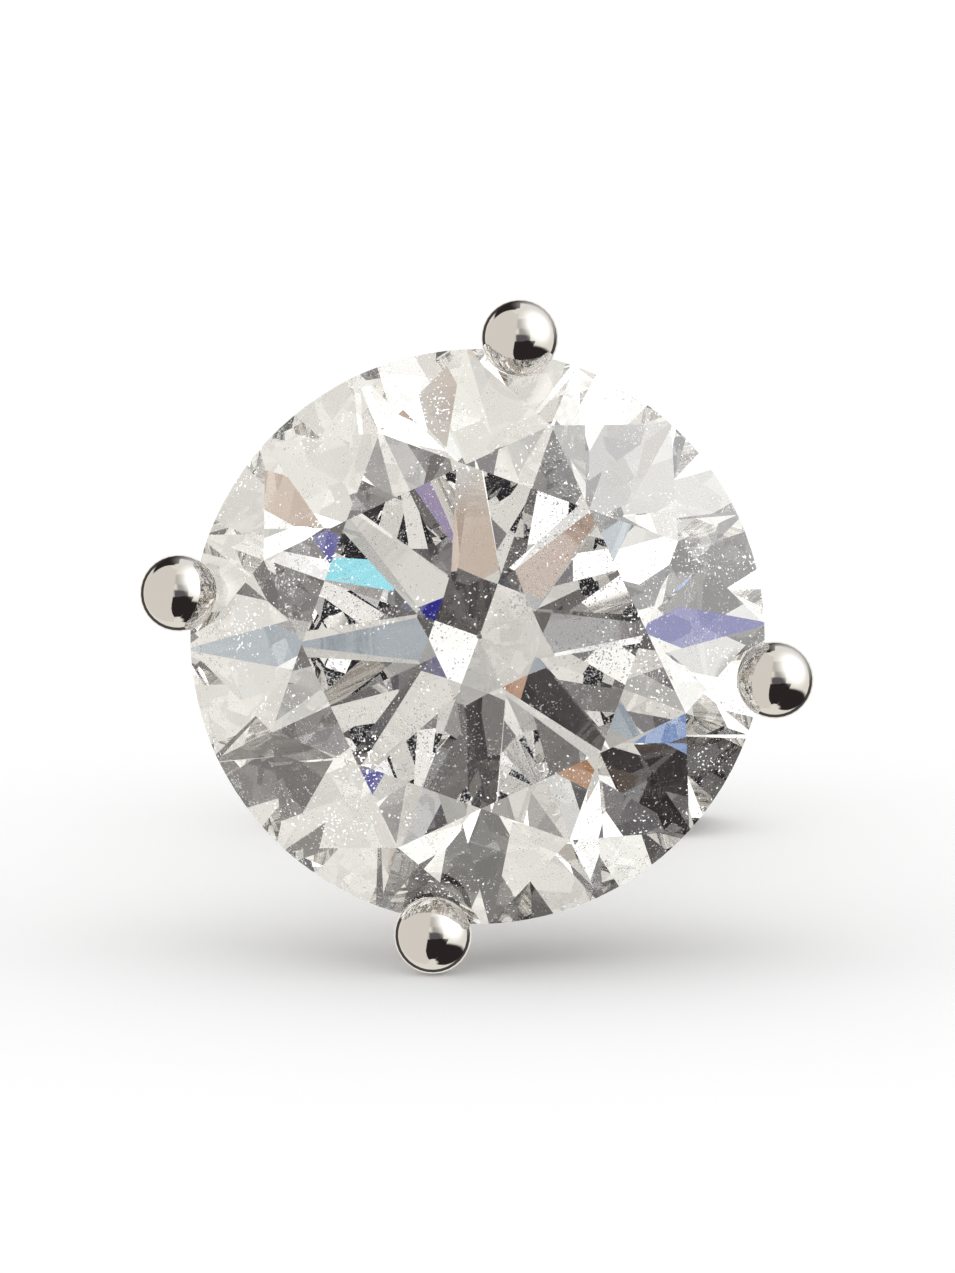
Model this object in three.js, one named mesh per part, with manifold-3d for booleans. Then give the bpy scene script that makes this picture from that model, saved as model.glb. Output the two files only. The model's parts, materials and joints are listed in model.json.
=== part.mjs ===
// A stud earring: a round brilliant stone in a four-claw setting, its post soldered on behind,
// and the butterfly nut that grips the post behind the ear lobe.
// Each piece is modelled on the earring's own axes: +Z from the post out through the stone's table, the
// girdle's middle plane at Z 0, +Y up as it is worn. The last group lays it down as it rests by itself,
// on one claw and the nut, with the table towards -Y. Millimetres.
import * as THREE from "three";
import { mergeVertices } from "three/addons/utils/BufferGeometryUtils.js";
import Module from "manifold-3d";

const DEG = Math.PI / 180;

// Stone: a one-carat round brilliant. Lengths that are a share are of its radius or as jewellers state them.
const STONE_RADIUS = 3.25;
const TABLE_SHARE = 0.593; // table corner to corner, of the diameter
const CROWN_ANGLE = 37.7 * DEG;
const PAVILION_ANGLE = 40.8 * DEG;
const STAR_SHARE = 0.505; // star facet's length, of the way from the table's edge to the girdle
const LOWER_HALF_SHARE = 0.772; // lower half facet's length, of the way from the girdle to the culet
const GIRDLE_THICKNESS = 0.26;
const GIRDLE_SIDES = 96;
const CULET_RADIUS = 0.03;
const MAINS = 8;
const STONE_TURN = 2.85 * DEG; // of the stone in its seat, anticlockwise from the front
const SEAT_SCALE = 1.012; // the seat cut in the claws, as a copy of the stone with a small gap all round

// Claw setting
const CLAWS = 4;
const CLAW_TURN = -8 * DEG; // of the claws, from straight up, down and across
const BEAD_RADIUS = 0.436; // the round tip of each claw
const BEAD_CENTRE = { out: 1.047 * STONE_RADIUS, z: 0.33 };
const CLAW_RADIUS = { base: 0.4, waist: 0.33, tip: 0.39 };
const CLAW_STATIONS = [
  { out: 0.55, z: -3.62 }, // in the base
  { out: 1.45, z: -3.02 },
  { out: 2.5, z: -1.86 },
  { out: 3.14, z: -0.95 },
  { out: 3.35, z: -0.25 },
  BEAD_CENTRE,
];
const RAIL = { radius: 2.33, z: -2.05, wire: 0.27 }; // the ring that ties the claws under the stone
const BASE = { radius: 1.25, top: -3.3, back: -3.95, edge: 0.2 };
const POST = { radius: 0.45, length: 10, tip: 0.3, grooveAt: 7.25, grooveWidth: 0.8, grooveDepth: 0.07 };

// Ear nut
const LOBE_GAP = 6; // from the back of the setting to the nut's front
const NUT = { strip: 0.28, scroll: 1.02, innerScroll: 0.6, halfHeight: 2.25, corner: 1.1, grip: 0.03 };
const SCROLL_SWEEP = 270 * DEG; // from the plate round to the post
const INNER_SWEEP = 150 * DEG; // and on, inside the scroll
const COLLAR = { radius: 0.85, length: 0.35 }; // the short neck round the nut's hole
const NUT_HOLE = POST.radius + NUT.grip;

// How finely round shapes are made
const CLAW_SIDES = 14;
const CLAW_STEPS = 16;
const BEAD_SIDES = 24;
const WIRE_SIDES = 12;
const RAIL_SIDES = 48;
const ROUND_SIDES = 32;
const SMALL_ROUND_SIDES = 24;
const SCROLL_STEPS = { outer: 24, inner: 12 };
const CORNER_STEPS = 8;

const wasm = await Module();
wasm.setup();

// A closed geometry as a manifold-3d solid, with its shared vertices merged.
function solidOf(geometry) {
  const bare = geometry.index ? geometry.toNonIndexed() : geometry.clone();
  bare.deleteAttribute("normal");
  bare.deleteAttribute("uv");
  const merged = mergeVertices(bare, 1e-5);
  return new wasm.Manifold(
    new wasm.Mesh({
      numProp: 3,
      vertProperties: merged.attributes.position.array,
      triVerts: new Uint32Array(merged.index.array),
    }),
  );
}

// A manifold-3d solid as a geometry.
function geometryOf(solid) {
  const mesh = solid.getMesh();
  const geometry = new THREE.BufferGeometry();
  geometry.setAttribute("position", new THREE.BufferAttribute(new Float32Array(mesh.vertProperties), 3));
  geometry.setIndex(new THREE.BufferAttribute(new Uint32Array(mesh.triVerts), 1));
  return geometry;
}

const joined = (solids) => solids.reduce((all, next) => all.add(next));

// The point at a distance out from the axis, at an angle round it.
const around = (out, angle, z) => new THREE.Vector3(out * Math.cos(angle), out * Math.sin(angle), z);

// A solid of revolution about Z, from [radius, z] pairs that start and end on the axis, z rising.
function turned(profile, sides = ROUND_SIDES) {
  const points = profile.map(([radius, z]) => new THREE.Vector2(radius, z));
  return new THREE.LatheGeometry(points, sides).rotateX(Math.PI / 2);
}

// The round brilliant, facet by facet. Every facet is a flat polygon, listed anticlockwise from outside.
function brilliantCut() {
  const step = (2 * Math.PI) / MAINS;
  const half = step / 2;
  const chord = Math.cos(half / 2); // how far in the middle of a half facet's girdle line lies
  const top = GIRDLE_THICKNESS / 2;
  const tableCorner = TABLE_SHARE * STONE_RADIUS;
  const tableEdge = tableCorner * Math.cos(half);
  const tableHeight = top + (STONE_RADIUS - tableCorner) * Math.tan(CROWN_ANGLE);
  const starTip = tableEdge + STAR_SHARE * (STONE_RADIUS - tableEdge);
  const starHeight = top + (STONE_RADIUS - starTip * Math.cos(half)) * Math.tan(CROWN_ANGLE);
  const lowerTip = (1 - LOWER_HALF_SHARE) * STONE_RADIUS;
  const lowerDepth = top + (STONE_RADIUS - lowerTip * Math.cos(half)) * Math.tan(PAVILION_ANGLE);
  const culetDepth = top + (STONE_RADIUS - CULET_RADIUS) * Math.tan(PAVILION_ANGLE);
  // How steeply a half facet falls away outside its girdle line, which scallops the girdle.
  const upperSlope = (starHeight - top) / ((STONE_RADIUS - starTip) * chord);
  const lowerSlope = (lowerDepth - top) / ((STONE_RADIUS - lowerTip) * chord);

  const perHalf = GIRDLE_SIDES / (2 * MAINS);
  const girdle = (index, slope) => {
    const angle = (index * 2 * Math.PI) / GIRDLE_SIDES;
    const fromMiddle = ((((index % perHalf) + perHalf) % perHalf) / perHalf - 0.5) * half;
    const beyond = STONE_RADIUS * (Math.cos(fromMiddle) - chord);
    const height = top - beyond * Math.abs(slope);
    return around(STONE_RADIUS, angle, slope > 0 ? height : -height);
  };
  const arc = (first, slope) =>
    Array.from({ length: perHalf + 1 }, (_, i) => girdle(first + i, slope));

  const positions = [];
  const facet = (...corners) => {
    for (let i = 1; i < corners.length - 1; i++)
      for (const p of [corners[0], corners[i], corners[i + 1]]) positions.push(p.x, p.y, p.z);
  };
  const table = [];
  const culet = [];
  for (let k = 0; k < MAINS; k++) {
    const angle = k * step;
    const first = k * 2 * perHalf; // the girdle corner in line with this main
    const corner = around(tableCorner, angle, tableHeight);
    const nextCorner = around(tableCorner, angle + step, tableHeight);
    const star = around(starTip, angle + half, starHeight);
    const lastStar = around(starTip, angle - half, starHeight);
    const lower = around(lowerTip, angle + half, -lowerDepth);
    const lastLower = around(lowerTip, angle - half, -lowerDepth);
    const point = around(CULET_RADIUS / Math.cos(half), angle + half, -culetDepth);
    const lastPoint = around(CULET_RADIUS / Math.cos(half), angle - half, -culetDepth);
    const [above] = arc(first, upperSlope);
    const [below] = arc(first, -lowerSlope);
    table.push(corner);
    culet.unshift(point);
    facet(corner, star, nextCorner); // star
    facet(corner, lastStar, above, star); // crown main
    facet(star, ...arc(first, upperSlope)); // upper halves
    facet(star, ...arc(first + perHalf, upperSlope));
    facet(lower, ...arc(first, -lowerSlope).reverse()); // lower halves
    facet(lower, ...arc(first + perHalf, -lowerSlope).reverse());
    facet(below, lastLower, lastPoint, point, lower); // pavilion main
    for (let i = first; i < first + 2 * perHalf; i++)
      facet(girdle(i, upperSlope), girdle(i, -lowerSlope), girdle(i + 1, -lowerSlope), girdle(i + 1, upperSlope));
  }
  facet(...table);
  facet(...culet);
  const geometry = new THREE.BufferGeometry();
  geometry.setAttribute("position", new THREE.Float32BufferAttribute(positions, 3));
  return geometry.rotateZ(STONE_TURN);
}

// One claw as a round bar that follows its stations, thinnest at its waist.
function clawBar() {
  const path = new THREE.CatmullRomCurve3(CLAW_STATIONS.map(({ out, z }) => new THREE.Vector3(out, 0, z)));
  const bar = new THREE.CylinderGeometry(1, 1, 1, CLAW_SIDES, CLAW_STEPS);
  const position = bar.getAttribute("position");
  const p = new THREE.Vector3();
  for (let i = 0; i < position.count; i++) {
    p.fromBufferAttribute(position, i);
    const share = p.y + 0.5;
    const at = path.getPointAt(share);
    const along = path.getTangentAt(share);
    const sideways = new THREE.Vector3(along.z, 0, -along.x);
    const end = share < 0.5 ? CLAW_RADIUS.base : CLAW_RADIUS.tip;
    const radius = CLAW_RADIUS.waist + (end - CLAW_RADIUS.waist) * Math.abs(2 * share - 1) ** 2;
    at.addScaledVector(sideways, p.x * radius);
    position.setXYZ(i, at.x, -p.z * radius, at.z);
  }
  return bar;
}

function claw(index) {
  const bead = new THREE.SphereGeometry(BEAD_RADIUS, BEAD_SIDES, (2 * BEAD_SIDES) / 3);
  bead.translate(BEAD_CENTRE.out, 0, BEAD_CENTRE.z);
  return solidOf(clawBar())
    .add(solidOf(bead))
    .rotate([0, 0, (CLAW_TURN / DEG) + (360 / CLAWS) * index]);
}

const rail = () => solidOf(new THREE.TorusGeometry(RAIL.radius, RAIL.wire, WIRE_SIDES, RAIL_SIDES)).translate([0, 0, RAIL.z]);

const base = () =>
  solidOf(
    turned([
      [0, BASE.back],
      [BASE.radius - BASE.edge / 3, BASE.back],
      [BASE.radius, BASE.back + BASE.edge / 3],
      [BASE.radius, BASE.top - BASE.edge],
      [BASE.radius - BASE.edge, BASE.top],
      [0, BASE.top],
    ]),
  );

// The post, rooted inside the base, with a round tip and the shallow groove that the nut grips.
function post() {
  const end = BASE.back - POST.length;
  const groove = BASE.back - POST.grooveAt;
  const slope = POST.grooveDepth;
  const tip = [0, 22.5, 45, 67.5].map((angle) => [
    POST.radius - POST.tip * (1 - Math.sin(angle * DEG)),
    end + POST.tip * (1 - Math.cos(angle * DEG)),
  ]);
  return solidOf(
    turned([
      [0, end],
      ...tip,
      [POST.radius, end + POST.tip],
      [POST.radius, groove - POST.grooveWidth / 2],
      [POST.radius - POST.grooveDepth, groove - POST.grooveWidth / 2 + slope],
      [POST.radius - POST.grooveDepth, groove + POST.grooveWidth / 2 - slope],
      [POST.radius, groove + POST.grooveWidth / 2],
      [POST.radius, BASE.top - BASE.edge],
      [0, BASE.top - BASE.edge],
    ], SMALL_ROUND_SIDES),
  );
}

// Claws, rail, base and post, soldered into one piece, less the stone's seat.
function settingWithPost(stone) {
  const claws = Array.from({ length: CLAWS }, (_, index) => claw(index));
  const metal = joined([...claws, rail(), base(), post()]);
  const seat = solidOf(stone.clone().scale(SEAT_SCALE, SEAT_SCALE, SEAT_SCALE));
  return geometryOf(metal.subtract(seat));
}

// The nut's strip seen on edge: a flat plate that scrolls back and in at each end until it meets the post.
function stripOutline() {
  const { strip, scroll, innerScroll } = NUT;
  const centre = new THREE.Vector2(NUT_HOLE + strip / 2 + scroll, -strip / 2 - scroll);
  const innerCentre = new THREE.Vector2(centre.x - scroll + innerScroll, centre.y);
  const side = (offset) => {
    const points = [];
    const sweep = (middle, radius, from, to, steps) => {
      for (let i = 0; i <= steps; i++) {
        const angle = Math.PI / 2 - from - ((to - from) * i) / steps;
        points.push(
          new THREE.Vector2(
            middle.x + (radius + offset) * Math.cos(angle),
            middle.y + (radius + offset) * Math.sin(angle),
          ),
        );
      }
    };
    sweep(centre, scroll, 0, SCROLL_SWEEP, SCROLL_STEPS.outer);
    sweep(innerCentre, innerScroll, SCROLL_SWEEP, SCROLL_SWEEP + INNER_SWEEP, SCROLL_STEPS.inner);
    return points.filter((p, i) => i === 0 || p.distanceTo(points[i - 1]) > 1e-6);
  };
  const right = [...side(strip / 2), ...side(-strip / 2).reverse()];
  const left = right.map((p) => new THREE.Vector2(-p.x, p.y)).reverse();
  return new THREE.Shape([...right, ...left]);
}

// The nut's outline from the front: a rectangle with round corners.
function nutFace() {
  const x = NUT_HOLE + NUT.strip + 2 * NUT.scroll + NUT.strip / 2;
  const y = NUT.halfHeight;
  const r = NUT.corner;
  const face = new THREE.Shape();
  face.absarc(x - r, y - r, r, 0, Math.PI / 2);
  face.absarc(r - x, y - r, r, Math.PI / 2, Math.PI);
  face.absarc(r - x, r - y, r, Math.PI, 1.5 * Math.PI);
  face.absarc(x - r, r - y, r, 1.5 * Math.PI, 2 * Math.PI);
  return face;
}

// The nut, its front face at Z 0 and its scrolls behind.
function earNut() {
  const depth = 4 * NUT.scroll;
  const strip = new THREE.ExtrudeGeometry(stripOutline(), { depth: 2 * NUT.halfHeight, bevelEnabled: false });
  strip.translate(0, 0, -NUT.halfHeight).rotateX(Math.PI / 2);
  const face = new THREE.ExtrudeGeometry(nutFace(), { depth, bevelEnabled: false, curveSegments: CORNER_STEPS });
  face.translate(0, 0, -depth + 1);
  const collar = turned([
    [0, -NUT.strip - COLLAR.length],
    [COLLAR.radius - COLLAR.length / 2, -NUT.strip - COLLAR.length],
    [COLLAR.radius, -NUT.strip],
    [COLLAR.radius, -NUT.strip / 2],
    [0, -NUT.strip / 2],
  ], SMALL_ROUND_SIDES);
  const hole = new THREE.CylinderGeometry(NUT_HOLE, NUT_HOLE, depth, SMALL_ROUND_SIDES).rotateX(Math.PI / 2);
  return geometryOf(solidOf(strip).intersect(solidOf(face)).add(solidOf(collar)).subtract(solidOf(hole)));
}

// How far the post's end dips when the earring lies on its lowest claw and the nut's lower edge.
function restingLean() {
  const clawDrop = BEAD_CENTRE.out * Math.cos(CLAW_TURN);
  const nutBack = BASE.back - LOBE_GAP - NUT.strip - 2 * NUT.scroll;
  const reach = BEAD_CENTRE.z - nutBack;
  const rise = clawDrop - NUT.halfHeight;
  return Math.atan2(rise, reach) + Math.asin(BEAD_RADIUS / Math.hypot(reach, rise));
}

const diamond = new THREE.MeshPhysicalMaterial({
  color: 0xf6f6f1,
  roughness: 0,
  metalness: 0,
  transmission: 1,
  ior: 2.42,
});
const whiteGold = new THREE.MeshStandardMaterial({ color: 0xd5cfca, roughness: 0.08, metalness: 1 });
const nutGold = new THREE.MeshStandardMaterial({ color: 0xd2ccc6, roughness: 0.2, metalness: 1 });

function piece(name, geometry, material) {
  const mesh = new THREE.Mesh(geometry, material);
  mesh.name = name;
  return mesh;
}

const stoneCut = brilliantCut();
const stone = piece("stone", stoneCut, diamond);
const setting = piece("claw_setting_with_post", settingWithPost(stoneCut), whiteGold);
const nut = piece("ear_nut", earNut(), nutGold);
nut.position.z = BASE.back - LOBE_GAP;

const lying = new THREE.Group();
lying.add(stone, setting, nut);
lying.rotation.x = Math.PI / 2 - restingLean();

// The part's origin is at the middle of its bounding box's base.
const earring = new THREE.Group();
earring.add(lying);
const box = new THREE.Box3().setFromObject(earring, true);
const centre = box.getCenter(new THREE.Vector3());
lying.position.set(-centre.x, -centre.y, -box.min.z);

export default earring;
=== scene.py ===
"""A stud earring: a round brilliant in a claw setting, its post, and the butterfly nut on the post.

Every piece is modelled upright on the bench, in millimetres, on the earring's own axes: +Z from the post
out through the stone's table, the middle of the girdle at Z 0, +Y up as it is worn. lay_down() then makes
it real size and lays it in the frame, where the stud rests on one claw and the nut.
"""

import json
import math

import bpy
from mathutils import Matrix, Vector


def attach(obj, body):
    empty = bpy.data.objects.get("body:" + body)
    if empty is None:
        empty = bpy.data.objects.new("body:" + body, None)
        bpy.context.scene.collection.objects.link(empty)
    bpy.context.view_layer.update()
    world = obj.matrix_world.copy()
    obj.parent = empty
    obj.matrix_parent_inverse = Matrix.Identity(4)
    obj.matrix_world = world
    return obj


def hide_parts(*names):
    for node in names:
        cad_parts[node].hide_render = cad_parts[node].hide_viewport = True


bl_info = {
    "name": "Stud Earring",
    "version": (1, 0, 0),
    "blender": (4, 5, 0),
    "location": "View3D > Sidebar > Earring",
    "description": "Models a solitaire stud earring piece by piece, with its finishes and a small studio",
    "category": "Add Mesh",
}

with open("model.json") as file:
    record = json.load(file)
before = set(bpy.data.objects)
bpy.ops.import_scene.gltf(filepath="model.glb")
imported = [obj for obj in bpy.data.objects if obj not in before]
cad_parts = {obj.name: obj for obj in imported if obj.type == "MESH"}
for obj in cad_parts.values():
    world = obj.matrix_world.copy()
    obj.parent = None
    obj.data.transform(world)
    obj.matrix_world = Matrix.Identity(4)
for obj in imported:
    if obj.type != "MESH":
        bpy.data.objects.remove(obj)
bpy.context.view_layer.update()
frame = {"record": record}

MM = 0.001
UP = Vector((0, 0, 1))
MAINS = 8  # main facets round the crown, and round the pavilion
CLAWS = 4


def mount(name):
    return next(m for m in frame["record"]["mounts"] if m["name"] == name)


# --- Sizes --------------------------------------------------------------------------------------------


def length(name, description, millimetres):
    """A property for a length, kept in metres and shown in the scene's own units."""
    return bpy.props.FloatProperty(
        name=name, description=description, default=millimetres * MM, min=0, unit="LENGTH", precision=5
    )


def turn(name, description, degrees):
    return bpy.props.FloatProperty(
        name=name, description=description, default=math.radians(degrees), subtype="ANGLE"
    )


def share(name, description, value):
    return bpy.props.FloatProperty(
        name=name, description=description, default=value, min=0, max=1, subtype="FACTOR"
    )


def tint(name, description, colour):
    return bpy.props.FloatVectorProperty(
        name=name, description=description, default=colour, size=3, min=0, max=1, subtype="COLOR"
    )


class StoneSizes(bpy.types.PropertyGroup):
    radius: length("Radius", "From the stone's axis to its girdle", 3.25)
    table: share("Table", "Width of the table, of the stone's width", 0.593)
    crown: turn("Crown angle", "Slope of the crown's main facets", 37.7)
    pavilion: turn("Pavilion angle", "Slope of the pavilion's main facets", 40.8)
    star: share("Star facets", "Length of the star facets, of the way from table to girdle", 0.505)
    lower: share("Lower halves", "Length of the lower half facets, of the way from girdle to culet", 0.772)
    girdle: length("Girdle", "Thickness of the girdle where it is thickest", 0.26)
    culet: length("Culet", "Radius of the small flat at the stone's point", 0.03)
    turned: turn("Turn", "Turn of the stone in its seat", 2.85)
    body: tint("Body colour", "Faint colour of the stone", (0.985, 0.985, 0.965))
    # This colour is used for the dust and also for its painted glow.
    glowing_dust: tint("Dust", "Colour of the fine dust behind the stone", (0.95, 0.95, 0.96))


class SettingSizes(bpy.types.PropertyGroup):
    bead: length("Claw tips", "Radius of the round tip of each claw", 0.436)
    bead_out: length("Tips out", "From the axis to the middle of each tip", 3.403)
    bead_up: length("Tips up", "From the girdle's middle to the middle of each tip", 0.33)
    turned: turn("Turn", "Turn of the claws from straight up and across", -8)
    rail: length("Rail", "Radius of the ring that ties the claws", 2.33)
    rail_down: length("Rail depth", "From the girdle's middle down to the rail", 2.05)
    rail_wire: length("Rail wire", "Radius of the rail's wire", 0.27)
    base: length("Base", "Radius of the round base", 1.25)
    base_top: length("Base front", "From the girdle's middle to the base's front", 3.3)
    base_back: length("Base back", "From the girdle's middle to the base's back", 3.95)
    post: length("Post", "Radius of the post", 0.45)
    post_long: length("Post length", "From the back of the base to the post's end", 10)
    groove: length("Groove", "From the back of the base to the middle of the post's groove", 7.25)
    metal: tint("Metal", "Colour of the polished white gold", (0.75, 0.72, 0.69))


class NutSizes(bpy.types.PropertyGroup):
    gap: length("Lobe gap", "From the back of the base to the nut's front", 6)
    strip: length("Strip", "Thickness of the bent strip", 0.28)
    scroll: length("Scroll", "Radius of the scrolls at the middle of the strip", 1.02)
    inner: length("Inner scroll", "Radius of the scrolls' ends", 0.6)
    half: length("Half height", "From the post's axis to the nut's lower edge", 2.25)
    corner: length("Corners", "Radius of the nut's corners", 1.1)
    metal: tint("Metal", "Colour of the pressed white gold", (0.8, 0.765, 0.74))


def in_mm(value):
    return value / MM


# --- Bench: how a piece is shaped and laid down -------------------------------------------------------


def fresh(name, add, **settings):
    """A new primitive, alone in the selection, in edit mode with all of it selected."""
    if bpy.context.object and bpy.context.object.mode == "EDIT":
        bpy.ops.object.mode_set(mode="OBJECT")
    bpy.ops.object.select_all(action="DESELECT")
    add(**settings)
    piece = bpy.context.object
    piece.name = name
    piece.data.name = name
    bpy.ops.object.transform_apply()
    bpy.ops.object.mode_set(mode="EDIT")
    bpy.ops.mesh.select_all(action="SELECT")
    return piece


def done(piece):
    """Leaves edit mode, with only this piece selected."""
    if bpy.context.object.mode == "EDIT":
        bpy.ops.object.mode_set(mode="OBJECT")
    bpy.ops.object.select_all(action="DESELECT")
    piece.select_set(True)
    bpy.context.view_layer.objects.active = piece
    return piece


def modified(piece, kind, **settings):
    """Adds a modifier with these settings and applies it."""
    done(piece)
    modifier = piece.modifiers.new(kind.title(), kind)
    for name, value in settings.items():
        setattr(modifier, name, value)
    bpy.ops.object.modifier_apply(modifier=modifier.name)
    return piece


def united(piece, *others):
    """Joins closed shapes into one closed solid."""
    for other in others:
        modified(piece, "BOOLEAN", operation="UNION", solver="EXACT", object=other)
        bpy.data.objects.remove(other)
    return piece


def turned_copy(piece, angle):
    """A copy with a mesh of its own, turned about the earring's axis."""
    done(piece)
    bpy.ops.object.duplicate()
    copy = bpy.context.object
    copy.matrix_world = Matrix.Rotation(angle, 4, "Z")
    bpy.ops.object.transform_apply()
    return copy


def lie_angle():
    """How far the earring, upright on the bench, turns about X to lie as it rests."""
    axis = Vector(mount("lobe_front")["axis"])
    return math.pi / 2 - math.atan2(-axis.z, axis.y)


def rest_place():
    """From the bench to the frame: real size, leant as the stud lies, and in its place."""
    lie = Matrix.Rotation(lie_angle(), 4, "X")
    sizes = bpy.context.scene.earring_setting
    seat_height = 0.85  # of the mount's point above the axis, on the back of the base
    on_bench = Vector((0, seat_height, -in_mm(sizes.base_back)))
    centre = Vector(mount("lobe_front")["pos_m"]) - (lie @ on_bench) * MM
    return Matrix.Translation(centre) @ lie @ Matrix.Scale(MM, 4)


def lay_down(piece, slot, *nodes):
    """Puts a finished piece in the frame in place of the CAD nodes, with its place in its mesh."""
    done(piece)
    piece.matrix_world = rest_place()
    bpy.ops.object.transform_apply()
    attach(piece, "root")
    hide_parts(*nodes)


def around(out, angle, height=0.0):
    return Vector((out * math.cos(angle), out * math.sin(angle), height))


# --- Finishes -----------------------------------------------------------------------------------------


class Value:
    """A socket that can be added, subtracted and multiplied, each time by a Math node."""

    def __init__(self, finish, socket):
        self.finish = finish
        self.socket = socket

    def __add__(self, other):
        return self.finish.maths("ADD", self, other)

    def __radd__(self, other):
        return self.finish.maths("ADD", other, self)

    def __sub__(self, other):
        return self.finish.maths("SUBTRACT", self, other)

    def __rsub__(self, other):
        return self.finish.maths("SUBTRACT", other, self)

    def __mul__(self, other):
        return self.finish.maths("MULTIPLY", self, other)

    def __rmul__(self, other):
        return self.finish.maths("MULTIPLY", other, self)


class Finish:
    """A material, or a world, built from nodes by code."""

    def __init__(self, name, owner=None):
        self.owner = owner or bpy.data.materials.new(name)
        self.owner.use_nodes = True
        self.tree = self.owner.node_tree
        self.tree.nodes.clear()

    def node(self, kind, settings=None, *values, output=0, **named):
        """Adds a node: settings first, then values or links for its sockets in order, or by name."""
        node = self.tree.nodes.new(kind)
        for name, value in (settings or {}).items():
            setattr(node, name, value)
        for key, value in [*enumerate(values), *named.items()]:
            self.feed(self.socket(node, key), value)
        return Value(self, node.outputs[output])

    @staticmethod
    def socket(node, key):
        if isinstance(key, int):
            return node.inputs[key]
        words = key.replace("_", " ").lower()
        return next(s for s in node.inputs if s.name.lower() == words and s.enabled)

    def feed(self, socket, value):
        if isinstance(value, Value):
            self.tree.links.new(value.socket, socket)
        elif value is not None:
            is_colour = socket.type == "RGBA" and len(value) == 3
            socket.default_value = (*value, 1) if is_colour else value

    def maths(self, operation, *values):
        return self.node("ShaderNodeMath", {"operation": operation}, *values)

    def place(self):
        """Where a point is on the piece."""
        return self.node("ShaderNodeTexCoord", None, output="Object")

    def noise(self, size, detail):
        """Even noise whose lumps are about this many millimetres across."""
        return self.node(
            "ShaderNodeTexNoise", None, vector=self.place(), scale=1 / (size * MM), detail=detail
        )

    def ramp(self, value, low, high):
        """0 below low and 1 above high."""
        settings = {"interpolation_type": "SMOOTHSTEP"}
        return self.node("ShaderNodeMapRange", settings, value=value, from_min=low, from_max=high)

    def mix(self, factor, first, second):
        return self.node(
            "ShaderNodeMix", {"data_type": "RGBA"}, factor, output=2, a=first, b=second
        )

    def bump(self, height, depth):
        """Relief this many millimetres deep."""
        return self.node("ShaderNodeBump", None, strength=1.0, distance=depth * MM, height=height)

    def ray(self, kind):
        """1 for rays of this kind, and 0 for all others."""
        return self.node("ShaderNodeLightPath", None, output=f"Is {kind} Ray")

    def surface(self, shader):
        kind = "World" if isinstance(self.owner, bpy.types.World) else "Material"
        out = self.tree.nodes.new("ShaderNodeOutput" + kind)
        self.tree.links.new(shader.socket, out.inputs["Surface"])
        return self.owner


def diamond(sizes):
    """A clear stone of high index, with a trace of fine dust that lies thicker in some places. The dust's
    specks also have a faint painted glow, so they show bright even on the dark facets.
    """
    finish = Finish("diamond")
    specks = finish.noise(0.03, 0.0)
    drift = finish.noise(0.7, 3.0)
    clean, dusty = 1.25, 1.31
    glowing_dust = finish.ramp(specks + 0.9 * drift, clean, dusty)
    clear = finish.node(
        "ShaderNodeBsdfPrincipled",
        None,
        base_color=sizes.body,
        roughness=0.0,
        ior=2.417,
        transmission_weight=1.0,
    )
    # The specks' own colour, plus a faint painted glow (emission), so they show bright on the dark facets.
    glowing_powder = finish.node(
        "ShaderNodeBsdfPrincipled",
        None,
        base_color=sizes.glowing_dust,
        roughness=1.0,
        ior=1.3,
        emission_color=sizes.glowing_dust,
        emission_strength=0.35,
    )
    return finish.surface(finish.node("ShaderNodeMixShader", None, glowing_dust, clear, glowing_powder))


def polished_gold(sizes):
    """White gold polished to a mirror, with the last hairlines of the polishing wheel."""
    finish = Finish("polished_white_gold")
    wear = finish.noise(0.8, 4.0)
    lines = finish.noise(0.05, 2.0)
    shader = finish.node(
        "ShaderNodeBsdfPrincipled",
        None,
        base_color=finish.mix(wear, tuple(0.985 * c for c in sizes.metal), sizes.metal),
        metallic=1.0,
        roughness=0.02 + 0.05 * wear,
        normal=finish.bump(lines, 0.0004),
    )
    return finish.surface(shader)


def pressed_gold(sizes):
    """White gold strip as it comes from the press and the tumbler."""
    finish = Finish("pressed_white_gold")
    wear = finish.noise(0.7, 4.0)
    grain = finish.noise(0.06, 3.0)
    shader = finish.node(
        "ShaderNodeBsdfPrincipled",
        None,
        base_color=finish.mix(wear, tuple(0.93 * c for c in sizes.metal), sizes.metal),
        metallic=1.0,
        roughness=0.12 + 0.12 * wear,
        normal=finish.bump(grain, 0.0015),
    )
    return finish.surface(shader)


# --- Stone --------------------------------------------------------------------------------------------


def cut(*corners):
    """Cuts away what lies outside the plane through three points, listed anticlockwise from outside."""
    first, second, third = corners
    bpy.ops.mesh.select_all(action="SELECT")
    bpy.ops.mesh.bisect(
        plane_co=first,
        plane_no=(second - first).cross(third - first).normalized(),
        use_fill=True,
        clear_outer=True,
        threshold=1e-5,
    )


def stone_points(sizes):
    """Where the facets of the brilliant meet: (out, height) pairs by name, in millimetres."""
    radius = in_mm(sizes.radius)
    half = math.pi / MAINS
    top = in_mm(sizes.girdle) / 2
    table = sizes.table * radius
    table_edge = table * math.cos(half)
    star = table_edge + sizes.star * (radius - table_edge)
    lower = (1 - sizes.lower) * radius
    culet = in_mm(sizes.culet)

    def height(out, slope):
        return top + (radius - out) * math.tan(slope)

    return {
        "table": (table, height(table, sizes.crown)),
        "star": (star, height(star * math.cos(half), sizes.crown)),
        "girdle": (radius, top),
        "keel": (radius, -top),
        "lower": (lower, -height(lower * math.cos(half), sizes.pavilion)),
        "culet": (culet, -height(culet, sizes.pavilion)),
    }


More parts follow.
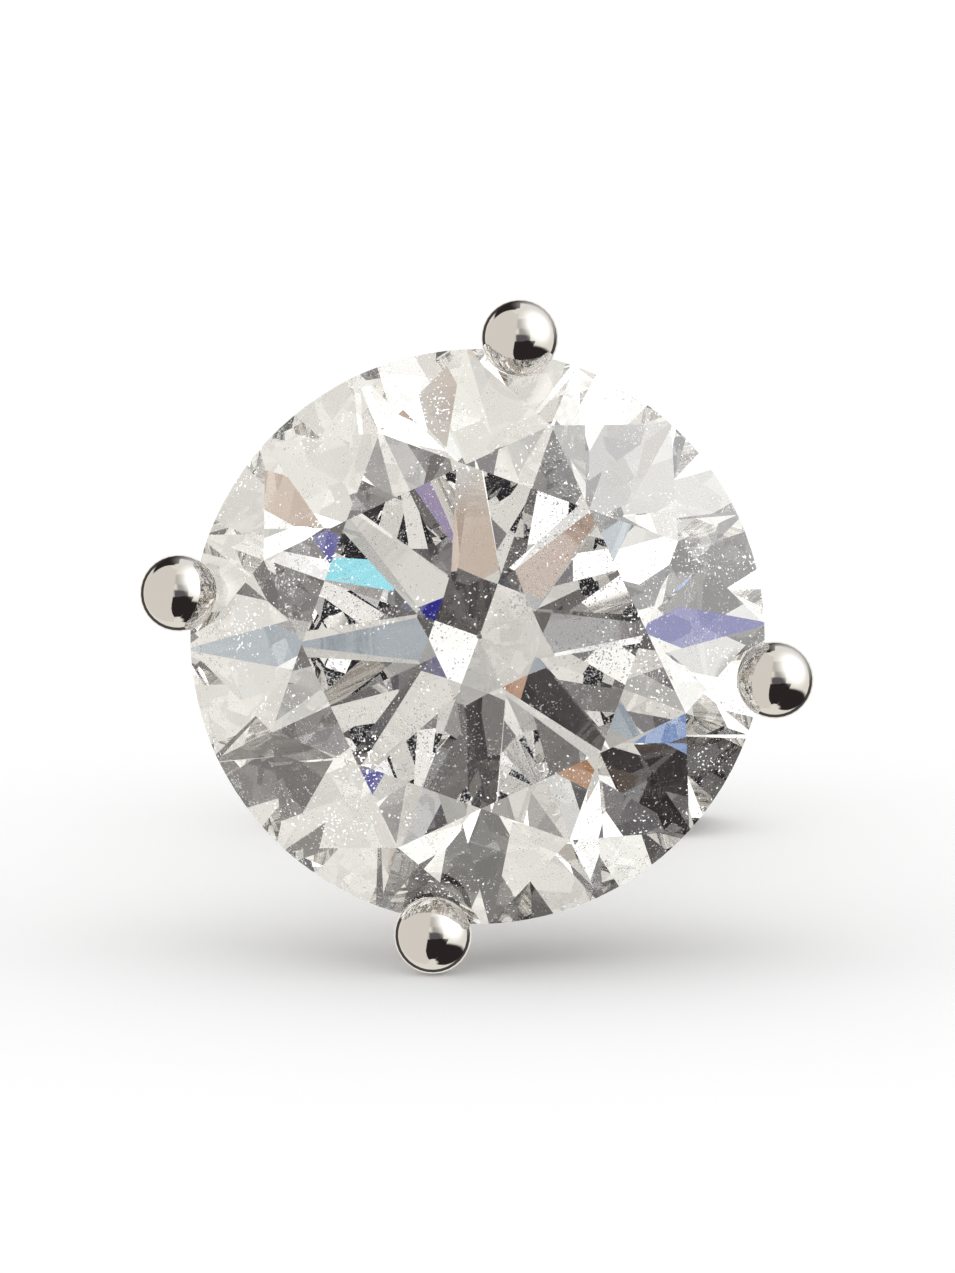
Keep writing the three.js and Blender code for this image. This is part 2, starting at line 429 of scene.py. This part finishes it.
def cut_stone(sizes, name="stone", blank_sides=96):
    """Cuts the round brilliant from a round blank, one facet at a time."""
    points = stone_points(sizes)
    half = math.pi / MAINS

    def at(point, halves):
        out, height = points[point]
        return around(out, halves * half, height)

    blank_depth = 4 * in_mm(sizes.radius)
    stone = fresh(
        name,
        bpy.ops.mesh.primitive_cylinder_add,
        vertices=blank_sides,
        radius=in_mm(sizes.radius),
        depth=blank_depth,
        rotation=(0, 0, 0),
    )
    cut(at("table", 0), at("table", 2), at("table", 4))
    cut(at("culet", 4), at("culet", 2), at("culet", 0))
    for k in range(0, 2 * MAINS, 2):
        cut(at("table", k), at("star", k - 1), at("star", k + 1))
        cut(at("keel", k), at("lower", k - 1), at("lower", k + 1))
        cut(at("table", k), at("star", k + 1), at("table", k + 2))
        for side in (1, -1):
            edge = (at("girdle", k), at("girdle", k + side), at("star", k + side))
            keel = (at("keel", k + side), at("keel", k), at("lower", k + side))
            cut(*edge[::side])
            cut(*keel[::side])
    bpy.ops.mesh.select_all(action="SELECT")
    bpy.ops.mesh.remove_doubles(threshold=1e-3)
    bpy.ops.transform.rotate(value=-sizes.turned, orient_axis="Z", center_override=(0, 0, 0))
    return done(stone)


class EARRING_OT_stone(bpy.types.Operator):
    """Cut the round brilliant from a round blank, one facet at a time"""

    bl_idname = "earring.stone"
    bl_label = "Stone"

    def execute(self, context):
        sizes = context.scene.earring_stone
        stone = cut_stone(sizes)
        bpy.ops.object.shade_flat()
        stone.data.materials.append(diamond(sizes))
        lay_down(stone, "diamond", "stone")
        return {"FINISHED"}


# --- Setting ------------------------------------------------------------------------------------------


def through(points, place):
    """The point at a place, in whole and part steps, on the smooth curve through these points."""
    step = min(int(place), len(points) - 2)
    t = place - step
    before = points[step - 1] if step else 2 * points[0] - points[1]
    start, end = points[step], points[step + 1]
    after = points[step + 2] if step + 2 < len(points) else 2 * points[-1] - points[-2]
    pull = (end - before) / 2
    push = (after - start) / 2
    return (
        start * (2 * t**3 - 3 * t**2 + 1)
        + pull * (t**3 - 2 * t**2 + t)
        + end * (3 * t**2 - 2 * t**3)
        + push * (t**3 - t**2)
    )


def claw_rings(sizes):
    """The rings that a claw is drawn through, as (middle, direction, radius)."""
    bead = in_mm(sizes.bead)
    tip = Vector((in_mm(sizes.bead_out), 0, in_mm(sizes.bead_up)))
    route = [
        Vector((0.55, 0, -3.62)),
        Vector((1.45, 0, -3.02)),
        Vector((2.5, 0, -1.86)),
        Vector((3.14, 0, -0.95)),
        Vector((3.35, 0, -0.25)),
        tip,
    ]
    root, waist, neck = 0.4, 0.33, 0.385
    steps = 34
    rings = []
    for i in range(steps):
        place = (len(route) - 1) * i / steps
        middle = through(route, place)
        ahead = through(route, place + 0.01) - middle
        end = root if 2 * i < steps else neck
        radius = waist + (end - waist) * abs(2 * i / steps - 1) ** 2
        rings.append((middle, ahead.normalized(), radius))
    inside = (tip - rings[-1][0]).length < bead * 0.9
    while inside:
        rings.pop()
        inside = (tip - rings[-1][0]).length < bead * 0.9
    for degrees in range(120, 0, -8):
        angle = math.radians(degrees)
        rings.append((tip + UP * bead * math.cos(angle), UP, bead * math.sin(angle)))
    return rings


def draw_bar(name, rings, sides=32):
    """A round bar drawn through rings, with both ends closed."""
    middle, ahead, radius = rings[0]
    bar = fresh(
        name,
        bpy.ops.mesh.primitive_circle_add,
        vertices=sides,
        radius=radius,
        fill_type="NGON",
        location=middle,
        rotation=UP.rotation_difference(ahead).to_euler(),
    )
    for (last, last_ahead, last_radius), (middle, ahead, radius) in zip(rings, rings[1:]):
        bpy.ops.mesh.extrude_region_move(TRANSFORM_OT_translate={"value": middle - last})
        lean = math.atan2(ahead.x, ahead.z) - math.atan2(last_ahead.x, last_ahead.z)
        bpy.ops.transform.rotate(value=-lean, orient_axis="Y", center_override=middle)
        size = radius / last_radius
        bpy.ops.transform.resize(value=(size, size, size), center_override=middle)
    bpy.ops.mesh.select_all(action="SELECT")
    bpy.ops.mesh.normals_make_consistent(inside=False)
    return done(bar)


def turned_bar(name, profile, sides=48):
    """A round solid from (radius, height) pairs, the first and last on the axis."""
    _, (radius, height), *rest, _ = profile
    bar = fresh(
        name,
        bpy.ops.mesh.primitive_circle_add,
        vertices=sides,
        radius=radius,
        fill_type="NGON",
        location=(0, 0, height),
    )
    for next_radius, next_height in rest:
        bpy.ops.mesh.extrude_region_move(TRANSFORM_OT_translate={"value": (0, 0, next_height - height)})
        size = next_radius / radius
        bpy.ops.transform.resize(value=(size, size, size), center_override=(0, 0, next_height))
        radius, height = next_radius, next_height
    bpy.ops.mesh.select_all(action="SELECT")
    bpy.ops.mesh.normals_make_consistent(inside=False)
    return done(bar)


def make_post(sizes):
    radius = in_mm(sizes.post)
    back = -in_mm(sizes.base_back)
    end = back - in_mm(sizes.post_long)
    groove = back - in_mm(sizes.groove)
    tip, wide, deep = 0.3, 0.4, 0.07
    round_tip = [
        (radius - tip * (1 - math.sin(angle)), end + tip * (1 - math.cos(angle)))
        for angle in (math.radians(d) for d in range(9, 91, 9))
    ]
    dip = [
        (radius - deep * (1 + math.cos(math.pi * s)) / 2, groove + wide * s)
        for s in (-1, -0.75, -0.5, -0.25, 0, 0.25, 0.5, 0.75, 1)
    ]
    return turned_bar(
        "post",
        [(0, end), *round_tip, *dip, (radius, back + 0.3), (0, back + 0.3)],
    )


def make_base(sizes):
    radius = in_mm(sizes.base)
    back, front = -in_mm(sizes.base_back), -in_mm(sizes.base_top)
    edge = 0.12
    quarter = [math.radians(d) for d in range(0, 91, 18)]
    lower = [(radius - edge * (1 - math.sin(a)), back + edge * (1 - math.cos(a))) for a in quarter]
    upper = [(radius - edge * (1 - math.cos(a)), front - edge * (1 - math.sin(a))) for a in quarter]
    return turned_bar("base", [(0, back), *lower, *upper, (0, front)], sides=64)


class EARRING_OT_setting(bpy.types.Operator):
    """Draw the claws with their round tips, and solder them to the rail, the base and the post"""

    bl_idname = "earring.setting"
    bl_label = "Claw setting with post"

    def execute(self, context):
        sizes = context.scene.earring_setting
        claw = draw_bar("claw", claw_rings(sizes))
        claws = [turned_copy(claw, sizes.turned + k * 2 * math.pi / CLAWS) for k in range(CLAWS)]
        bpy.data.objects.remove(claw)
        rail = fresh(
            "rail",
            bpy.ops.mesh.primitive_torus_add,
            major_radius=in_mm(sizes.rail),
            minor_radius=in_mm(sizes.rail_wire),
            major_segments=96,
            minor_segments=24,
            location=(0, 0, -in_mm(sizes.rail_down)),
        )
        done(rail)
        setting = united(make_base(sizes), make_post(sizes), rail, *claws)
        setting.name = "claw_setting_with_post"
        setting.data.name = setting.name
        seat = cut_stone(context.scene.earring_stone, "seat")
        loose = 1.012  # the seat is this much larger than the stone
        seat.scale = (loose, loose, loose)
        bpy.ops.object.transform_apply()
        modified(setting, "BOOLEAN", operation="DIFFERENCE", solver="EXACT", object=seat)
        bpy.data.objects.remove(seat)
        done(setting)
        bpy.ops.object.shade_smooth_by_angle(angle=math.radians(35))
        setting.data.materials.append(polished_gold(sizes))
        lay_down(setting, "polished_white_gold", "claw_setting_with_post")
        return {"FINISHED"}


# --- Nut ----------------------------------------------------------------------------------------------


def nut_hole():
    """The radius of the nut's hole, just clear of the post."""
    return in_mm(bpy.context.scene.earring_setting.post) + 0.03


def bent_strip(sizes, front):
    """The strip: a flat plate, scrolled back and in at each side until it meets the post."""
    half, strip = in_mm(sizes.half), in_mm(sizes.strip)
    scroll, inner = in_mm(sizes.scroll), in_mm(sizes.inner)
    plate = front - strip / 2
    side = nut_hole() + strip / 2 + scroll
    sheet = fresh("strip", bpy.ops.mesh.primitive_plane_add, size=1, location=(side / 2, 0, plate))
    bpy.ops.transform.resize(value=(side, 2 * half, 1), center_override=(side / 2, 0, plate))
    bpy.ops.mesh.select_all(action="DESELECT")
    bpy.ops.object.mode_set(mode="OBJECT")
    for vertex in sheet.data.vertices:
        vertex.select = vertex.co.x > side / 2
    bpy.ops.object.mode_set(mode="EDIT")
    for centre, degrees, steps in ((side, 270, 36), (side - scroll + inner, 150, 20)):
        bpy.ops.mesh.spin(
            steps=steps, angle=math.radians(degrees), center=(centre, 0, plate - scroll), axis=(0, -1, 0)
        )
    bpy.ops.mesh.select_all(action="SELECT")
    bpy.ops.mesh.remove_doubles(threshold=1e-4)
    bpy.ops.mesh.normals_make_consistent(inside=False)
    modified(sheet, "MIRROR", merge_threshold=1e-4)
    return modified(sheet, "SOLIDIFY", thickness=strip, offset=0)


def rounded_block(name, width, height, corner, depth, middle):
    """A block whose four edges along the post are rounded."""
    block = fresh(name, bpy.ops.mesh.primitive_plane_add, size=1, location=(0, 0, middle - depth / 2))
    bpy.ops.transform.resize(value=(width, height, 1), center_override=(0, 0, middle - depth / 2))
    bpy.ops.mesh.bevel(offset=corner, segments=12, affect="VERTICES")
    bpy.ops.mesh.extrude_region_move(TRANSFORM_OT_translate={"value": (0, 0, depth)})
    bpy.ops.mesh.select_all(action="SELECT")
    bpy.ops.mesh.normals_make_consistent(inside=False)
    return done(block)


class EARRING_OT_nut(bpy.types.Operator):
    """Bend the butterfly nut from a strip, round its corners and drill it for the post"""

    bl_idname = "earring.nut"
    bl_label = "Ear nut"

    def execute(self, context):
        sizes = context.scene.earring_nut
        front = -in_mm(context.scene.earring_setting.base_back) - in_mm(sizes.gap)
        strip, scroll = in_mm(sizes.strip), in_mm(sizes.scroll)
        hole = nut_hole()
        nut = bent_strip(sizes, front)
        width = 2 * (hole + strip + 2 * scroll)
        height = 2 * in_mm(sizes.half)
        outline = rounded_block("outline", width, height, in_mm(sizes.corner), 6 * scroll, front)
        modified(nut, "BOOLEAN", operation="INTERSECT", solver="EXACT", object=outline)
        bpy.data.objects.remove(outline)
        modified(nut, "WELD", merge_threshold=0.02)
        modified(nut, "BEVEL", width=0.04, segments=3, angle_limit=math.radians(40))
        collar, deep, edge = 0.85, 0.35, 0.15
        back = front - strip - deep
        lip = [
            (collar - edge * (1 - math.sin(a)), back + edge * (1 - math.cos(a)))
            for a in (math.radians(d) for d in range(0, 91, 18))
        ]
        top = front - strip / 2
        united(nut, turned_bar("collar", [(0, back), *lip, (collar, top), (0, top)]))
        below, above = front - 2 * height, front + 2 * height
        drill = turned_bar("drill", [(0, below), (hole, below), (hole, above), (0, above)])
        modified(nut, "BOOLEAN", operation="DIFFERENCE", solver="EXACT", object=drill)
        bpy.data.objects.remove(drill)
        done(nut)
        nut.name = nut.data.name = "ear_nut"
        bpy.ops.object.shade_smooth_by_angle(angle=math.radians(35))
        nut.data.materials.append(pressed_gold(sizes))
        lay_down(nut, "pressed_white_gold", "ear_nut")
        return {"FINISHED"}


# --- Studio -------------------------------------------------------------------------------------------


class Sky(Finish):
    """The light round the stud by its direction from the stone, in degrees: across from the stone's own
    axis to the camera's right, and up. Each card or light is laid over those before it."""

    def __init__(self, world, colour):
        super().__init__("sky", world)
        direction = self.node("ShaderNodeTexCoord", None)
        self.toward = self.node("ShaderNodeMapping", None, direction, rotation=(-lie_angle(), 0, 0))
        right, up, ahead = (self.node("ShaderNodeSeparateXYZ", None, self.toward, output=x) for x in "XYZ")
        self.across = self.maths("DEGREES", self.maths("ARCTAN2", right, ahead))
        self.up = self.maths("DEGREES", self.maths("ARCSINE", up))
        self.light = colour

    def card(self, across, up, colour, soft=2.0, slant=0.0):
        """A card that spans these angles, with edges this soft, its sides off plumb by slant."""
        inside = 1.0
        for angle, (low, high) in ((self.across - slant * self.up, across), (self.up, up)):
            inside = self.ramp(angle, low - soft / 2, low + soft / 2) * inside
            inside = self.ramp(angle, high + soft / 2, high - soft / 2) * inside
        self.light = self.mix(inside, self.light, colour)

    def ring(self, angles, colour, soft=3.0):
        """A band right round the stone's axis, between two angles away from it."""
        low, high = angles
        away = self.away((0, 0, 1))
        inside = self.ramp(away, low - soft, low) * self.ramp(away, high + soft, high)
        self.light = self.mix(inside, self.light, colour)

    @staticmethod
    def heading(across, up):
        across, up = math.radians(across), math.radians(up)
        return (math.cos(up) * math.sin(across), math.sin(up), math.cos(up) * math.cos(across))

    def away(self, middle):
        """The angle from a direction."""
        settings = {"operation": "DOT_PRODUCT"}
        near = self.node("ShaderNodeVectorMath", settings, self.toward, middle, output="Value")
        return self.maths("DEGREES", self.maths("ARCCOSINE", near))

    def spot(self, across, up, radius, core):
        """1 in the core of a round spot, down to 0 at its radius."""
        return self.ramp(self.away(self.heading(across, up)), radius, core * radius)

    def glow(self, across, up, radius, colour):
        """A round light that fades out to its radius."""
        self.light = self.mix(self.spot(across, up, radius, 0.2), self.light, colour)

    def gel(self, across, up, radius, colour):
        """A small round light that is seen only through the stone."""
        inside = self.spot(across, up, radius, 0.7) * self.ray("Transmission")
        self.light = self.mix(inside, self.light, colour)

    def hang(self, plain):
        """Puts the light up, with a plain colour for what the camera and the dull floor see."""
        colour = self.mix(self.ray("Camera") + self.ray("Diffuse"), self.light, plain)
        self.surface(self.node("ShaderNodeBackground", None, colour, 1.0))


# Small lights that stand in for the stone's fire: the glass here doesn't split white light into colours.
BLUE, CYAN, STEEL = (0.0, 0.0, 0.3), (0.45, 1.1, 1.25), (0.28, 0.42, 0.78)
VIOLET, HAZE = (0.25, 0.17, 0.4), (0.36, 0.42, 0.48)
ROSE, BLUSH, ORANGE = (0.45, 0.3, 0.22), (0.6, 0.46, 0.37), (0.5, 0.26, 0.14)
SPARK = (1.6, 1.6, 1.6)
GELS = (  # across, up, radius, colour
    (-29, 23, 4, SPARK),
    (1, -35, 5, SPARK),
    (16, 0, 2, BLUE),
    (-75, 32, 6, CYAN),
    (-41, -53, 8, STEEL),
    (-15, -1, 5, HAZE),
    (-38, 69, 6, VIOLET),
    (16, 19, 3, ROSE),
    (19, 29, 3, BLUSH),
    (-4, 23, 3.5, BLUSH),
    (0, 14, 2.5, ORANGE),
)


def light_studio(world):
    """White walls, a beige card on the left, black ones low on the right, grey ones round the camera, two
    large soft lights, and the gels."""
    black = (0.03, 0.025, 0.025)
    sky = Sky(world, (0.95, 0.935, 0.87))
    sky.ring((128, 150), (0.08, 0.07, 0.07))
    sky.card((-122, -8), (-80, 75), (0.84, 0.81, 0.765))
    sky.card((-180, -112), (35, 80), black, soft=6)
    sky.card((-8, 42), (25, 58), (0.62, 0.61, 0.58), soft=8)
    sky.card((-1, 34), (4, 26), (0.46, 0.45, 0.43), soft=8)
    sky.card((-8, 34), (-14, 7), (0.13, 0.12, 0.13), soft=6)
    sky.card((-8, 55), (-76, -9), black, soft=1, slant=0.35)
    sky.card((30, 140), (-80, -22), black, soft=8)
    sky.glow(120, 45, 55, (0.95, 0.95, 0.95))
    sky.glow(69, 31, 58, (1.9, 1.9, 1.9))
    for gel in GELS:
        sky.gel(*gel)
    sky.hang((1.1, 1.1, 1.1))


class EARRING_OT_studio(bpy.types.Operator):
    """Set up the floor, the light round the stone and the camera"""

    bl_idname = "earring.studio"
    bl_label = "Studio"

    def execute(self, context):
        scene = context.scene
        scene.world = bpy.data.worlds.new("studio")
        light_studio(scene.world)

        bpy.ops.mesh.primitive_circle_add(vertices=96, radius=1.0, fill_type="NGON", location=(0, 0, 0))
        floor = bpy.context.object
        floor.name = "floor"
        finish = Finish("floor")
        floor.data.materials.append(
            finish.surface(finish.node("ShaderNodeBsdfDiffuse", None, (0.93, 0.93, 0.93)))
        )
        floor.visible_glossy = False
        floor.visible_transmission = False

        bpy.ops.object.camera_add()
        camera = bpy.context.object
        camera.name = "camera"
        camera.data.sensor_width = 36
        camera.data.clip_start = 0.001
        camera.data.clip_end = 10
        away, right, up = 100, 4, 0.2  # from the middle of the girdle, in mm: a little to the stone's right
        camera.data.lens = 2.5 * away  # the stone fills as much of the picture from any distance
        place = rest_place()
        camera.location = place @ Vector((right, up, away))
        look = (place @ Vector((0, 0, 0))) - camera.location
        camera.rotation_euler = look.to_track_quat("-Z", "Y").to_euler()
        scene.camera = camera

        scene.view_settings.view_transform = "Standard"
        scene.world.cycles.sampling_method = "NONE"  # the light is broad, and rays find it by themselves
        scene.cycles.max_bounces = 20
        scene.cycles.transmission_bounces = 20
        scene.cycles.diffuse_bounces = 1
        scene.cycles.glossy_bounces = 12
        return {"FINISHED"}


# --- Panel and run ------------------------------------------------------------------------------------


class EARRING_PT_panel(bpy.types.Panel):
    bl_idname = "EARRING_PT_panel"
    bl_label = "Stud earring"
    bl_space_type = "VIEW_3D"
    bl_region_type = "UI"
    bl_category = "Earring"

    def draw(self, context):
        for operator in OPERATORS:
            self.layout.operator(operator.bl_idname)
        for group in GROUPS:
            sizes = getattr(context.scene, group)
            box = self.layout.box()
            for name in sizes.bl_rna.properties.keys():
                if name not in ("rna_type", "name"):
                    box.prop(sizes, name)


GROUPS = {"earring_stone": StoneSizes, "earring_setting": SettingSizes, "earring_nut": NutSizes}
OPERATORS = (EARRING_OT_stone, EARRING_OT_setting, EARRING_OT_nut, EARRING_OT_studio)


def register():
    for cls in (*GROUPS.values(), *OPERATORS, EARRING_PT_panel):
        bpy.utils.register_class(cls)
    for name, cls in GROUPS.items():
        setattr(bpy.types.Scene, name, bpy.props.PointerProperty(type=cls))


def unregister():
    for name in GROUPS:
        delattr(bpy.types.Scene, name)
    for cls in (EARRING_PT_panel, *OPERATORS, *GROUPS.values()):
        bpy.utils.unregister_class(cls)


def main():
    register()
    bpy.ops.earring.stone()
    bpy.ops.earring.setting()
    bpy.ops.earring.nut()
    bpy.ops.earring.studio()


if __name__ == "__main__":
    main()
